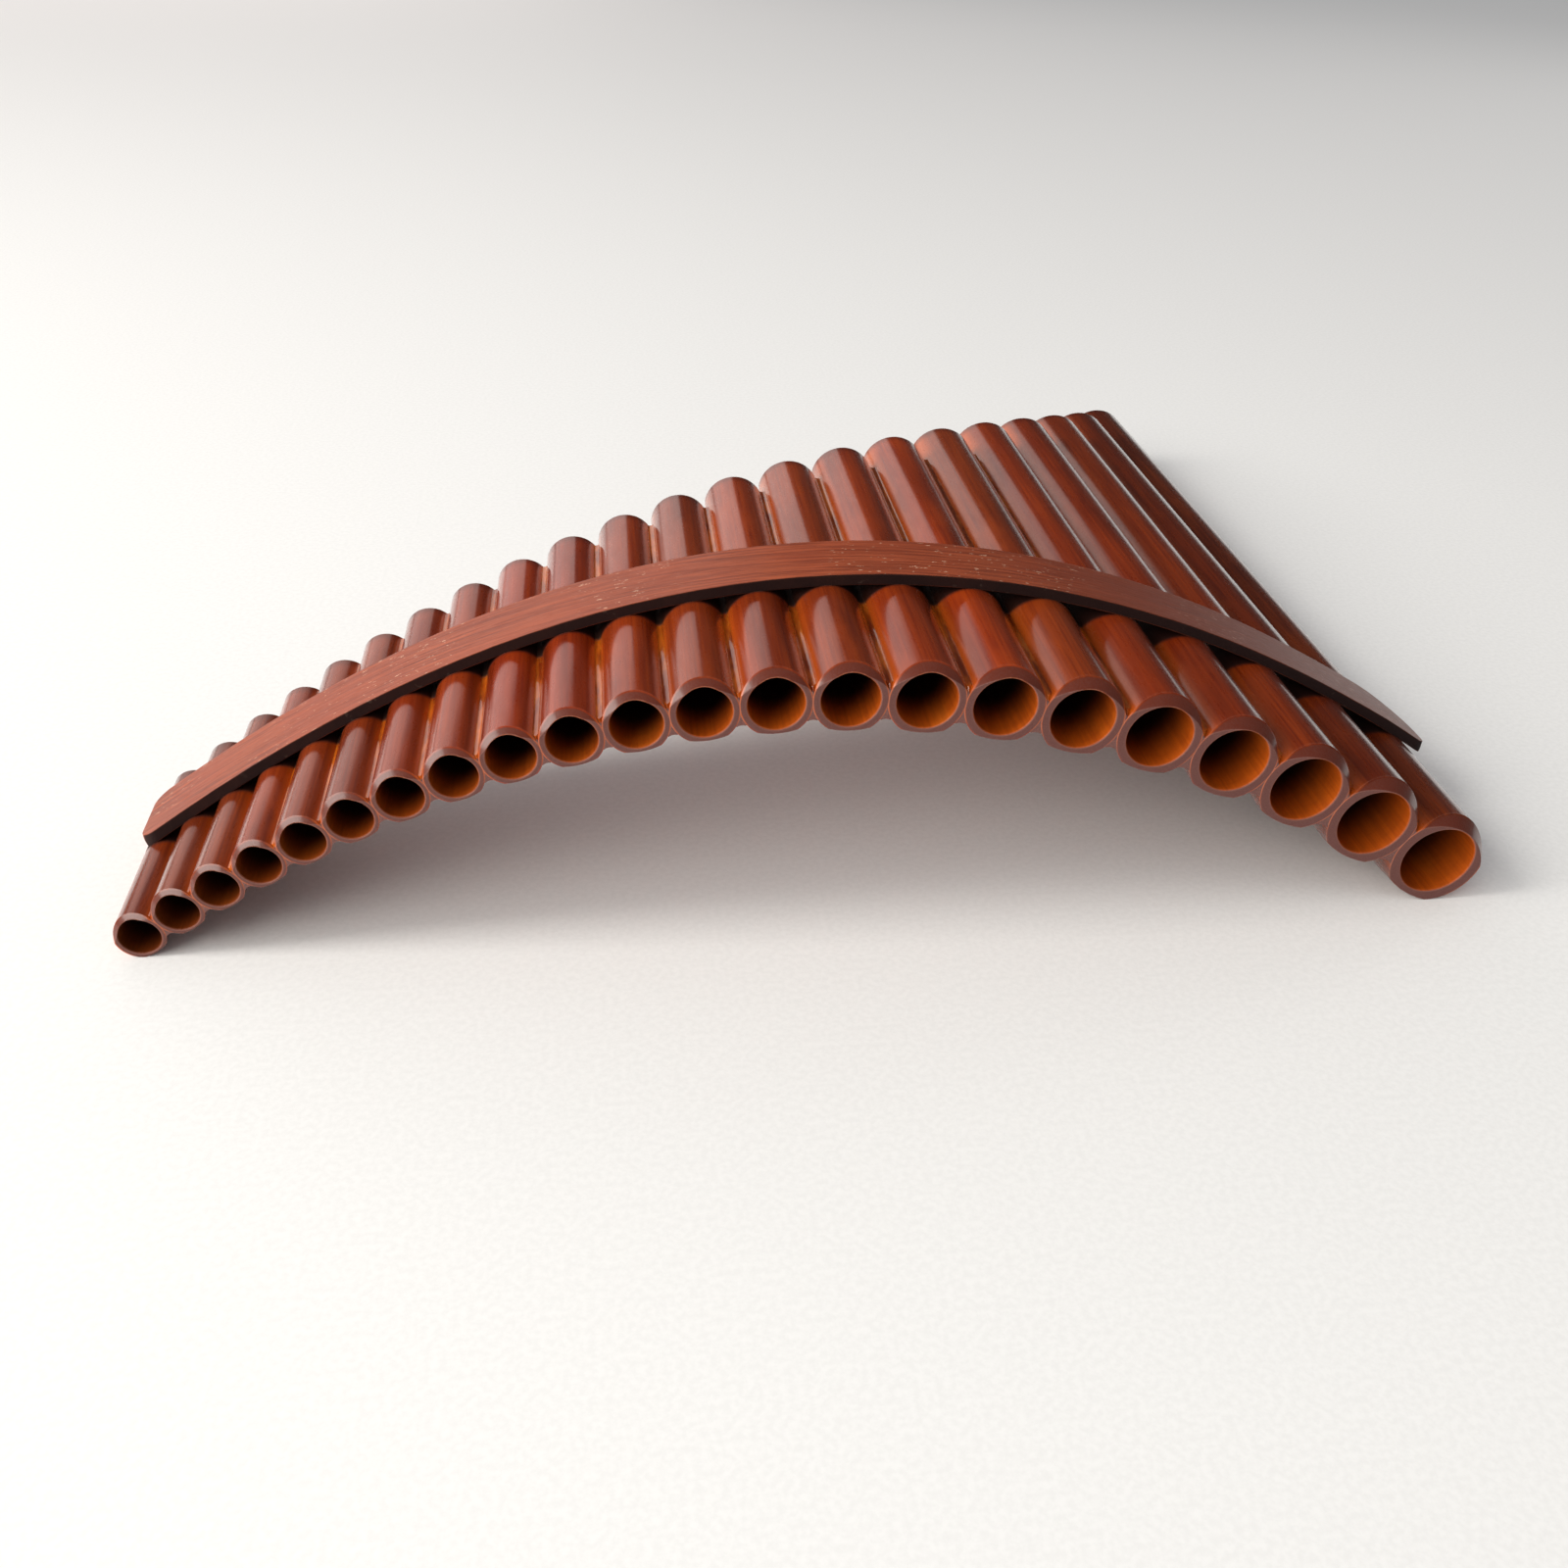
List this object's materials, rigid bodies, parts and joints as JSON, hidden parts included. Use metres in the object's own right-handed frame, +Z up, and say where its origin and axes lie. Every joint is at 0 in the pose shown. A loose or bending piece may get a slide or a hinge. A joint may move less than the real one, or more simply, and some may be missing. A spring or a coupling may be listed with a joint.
{
  "type": "pan flute",
  "caption": "Curved pan flute: a graded row of parallel stopped bamboo pipes with bevelled mouths, glued side by side under one thin bent wooden brace band.",
  "frame": {"origin": "centre of the bounding box in X and Y, on the surface the two end pipes stand on", "axes": "+X along the row from the shortest pipe to the longest, +Y from the mouths to the tails along every pipe, +Z up through the crest of the arch"},
  "size_m": [0.2973, 0.263, 0.0664],
  "materials": {
    "bamboo": "red-brown stained bamboo under clear gloss lacquer, bare matt end grain at the mouths",
    "cork": "matt fine cork",
    "glue": "amber translucent glue, wet looking",
    "band_wood": "satin brown wood with lengthwise grain and tiny pale flecks"
  },
  "bodies": {
    "root": {"pipe_01": "bamboo", "pipe_02": "bamboo", "pipe_03": "bamboo", "pipe_04": "bamboo", "pipe_05": "bamboo", "pipe_06": "bamboo", "pipe_07": "bamboo", "pipe_08": "bamboo", "pipe_09": "bamboo", "pipe_10": "bamboo", "pipe_11": "bamboo", "pipe_12": "bamboo", "pipe_13": "bamboo", "pipe_14": "bamboo", "pipe_15": "bamboo", "pipe_16": "bamboo", "pipe_17": "bamboo", "pipe_18": "bamboo", "pipe_19": "bamboo", "pipe_20": "bamboo", "pipe_21": "bamboo", "pipe_22": "bamboo", "stopper_01": "cork", "stopper_02": "cork", "stopper_03": "cork", "stopper_04": "cork", "stopper_05": "cork", "stopper_06": "cork", "stopper_07": "cork", "stopper_08": "cork", "stopper_09": "cork", "stopper_10": "cork", "stopper_11": "cork", "stopper_12": "cork", "stopper_13": "cork", "stopper_14": "cork", "stopper_15": "cork", "stopper_16": "cork", "stopper_17": "cork", "stopper_18": "cork", "stopper_19": "cork", "stopper_20": "cork", "stopper_21": "cork", "stopper_22": "cork", "glue_upper_treble": "glue", "glue_upper_middle": "glue", "glue_upper_bass": "glue", "glue_lower_treble": "glue", "glue_lower_middle": "glue", "glue_lower_bass": "glue", "brace_band": "band_wood"}
  },
  "joints": []
}
